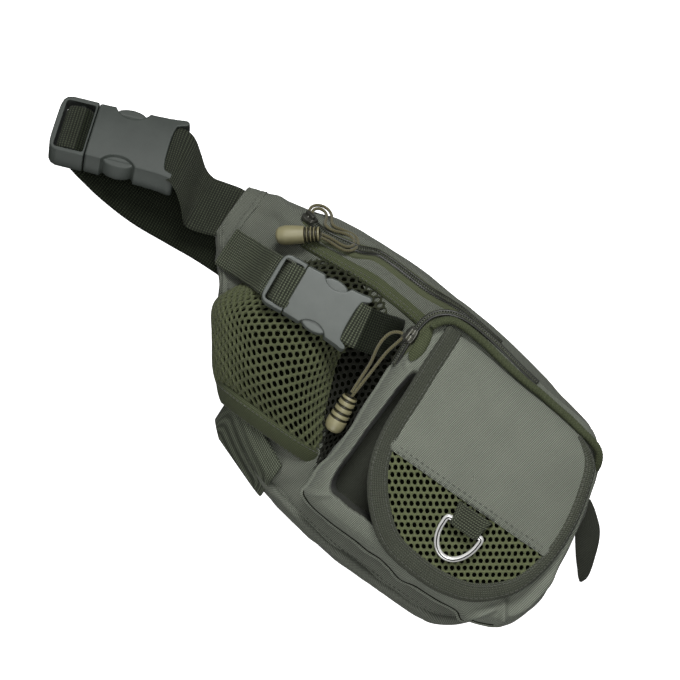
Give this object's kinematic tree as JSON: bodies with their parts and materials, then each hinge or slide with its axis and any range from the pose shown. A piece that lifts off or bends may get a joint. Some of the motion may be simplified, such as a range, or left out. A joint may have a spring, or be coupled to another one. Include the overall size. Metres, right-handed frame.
{
  "type": "hip pack",
  "caption": "Soft hip pack lying on its back, with a zipped main compartment, a boxy zipped front pocket under a mesh flap, a mesh bottle pouch with a strap and a waist belt.",
  "frame": {"origin": "middle of the pack's footprint, on the floor under its back panel", "axes": "+X along the pack towards the front pocket's end, +Y towards the main zipper, +Z out of its front"},
  "size_m": [0.4408, 0.1806, 0.1172],
  "materials": {
    "cloth": "coated plain weave, matte",
    "net": "open spacer mesh",
    "tape": "ribbed tape",
    "webbing": "ribbed webbing",
    "plastic": "satin moulding",
    "metal": "polished wire",
    "cord": "braided",
    "cord_end": "satin moulding"
  },
  "bodies": {
    "bag": {"main_shell": "cloth", "back_panel": "cloth", "right_wing": "cloth", "pocket_box": "cloth", "flap_cloth": "cloth", "mesh_pouch": "net", "flap_mesh": "net", "main_zipper": "tape", "pouch_top_binding": "tape", "pouch_bottom_binding": "tape", "pocket_zipper": "tape", "pocket_piping": "tape", "flap_binding": "tape", "bottom_loop": "webbing", "pouch_strap_left": "webbing", "pouch_strap_right": "webbing", "ring_tab": "webbing", "belt_front": "webbing", "belt_back": "webbing", "belt_buckle_socket": "plastic", "belt_buckle_plug": "plastic", "pouch_buckle_socket": "plastic", "pouch_buckle_plug": "plastic", "main_slider": "metal", "pocket_slider": "metal", "main_pull_cord": "cord", "pocket_pull_cord": "cord", "main_cord_end": "cord_end", "pocket_cord_end": "cord_end"},
    "ring": {"d_ring": "metal"}
  },
  "joints": [
    {"name": "d_ring_swing", "type": "hinge", "parent": "bag", "child": "ring", "pos_m": [0.12901, -0.02225, 0.11414], "axis": [-1, 0, 0], "range_deg": [0, 140]}
  ]
}
